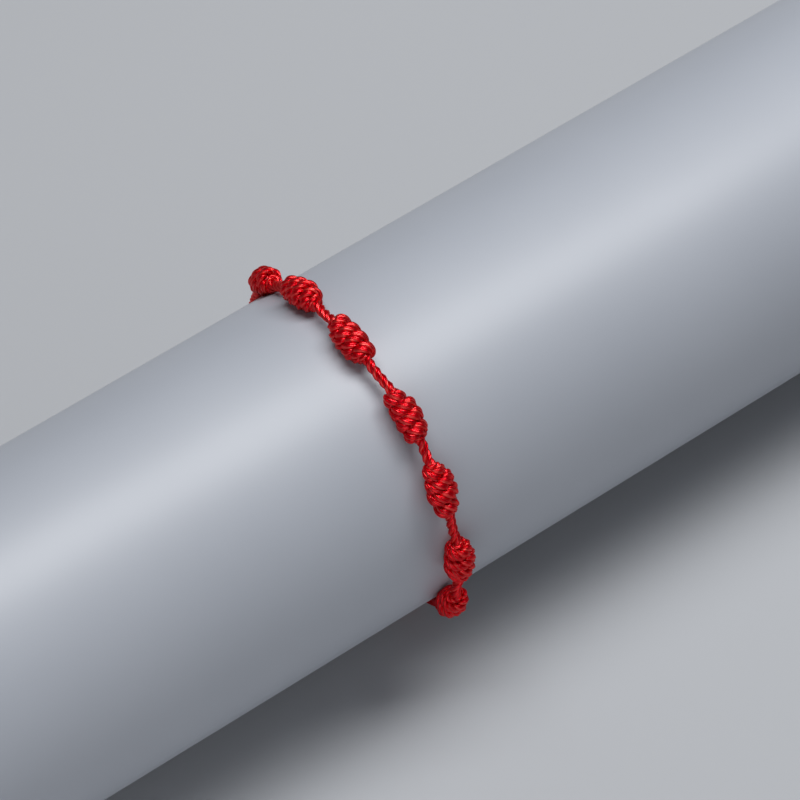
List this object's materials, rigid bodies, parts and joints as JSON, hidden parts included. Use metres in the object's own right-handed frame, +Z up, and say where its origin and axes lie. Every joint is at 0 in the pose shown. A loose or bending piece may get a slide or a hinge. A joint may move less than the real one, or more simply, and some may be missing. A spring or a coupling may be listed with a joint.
{
  "type": "red string bracelet on a display roll",
  "caption": "Red string bracelet: a twisted cord loop with a row of barrel knots and a closing knot, worn round a plain pale cylindrical display roll that lies on its side.",
  "frame": {"origin": "on the surface that the part lies on, under the middle of its box", "axes": "+X along the display roll, -Y towards the bracelet's front, +Z up"},
  "size_m": [0.235, 0.0685, 0.0652],
  "materials": {
    "roll": "pale blue-grey matt skin of the display roll",
    "cord": "satin red three-strand twisted cord",
    "knots": "satin red twisted cord, wound and drawn tight"
  },
  "bodies": {
    "root": {"display_roll": "roll", "cord": "cord", "knot_1": "knots", "knot_2": "knots", "knot_3": "knots", "knot_4": "knots", "knot_5": "knots", "knot_6": "knots", "knot_7": "knots", "closure_knot": "knots"}
  },
  "joints": []
}
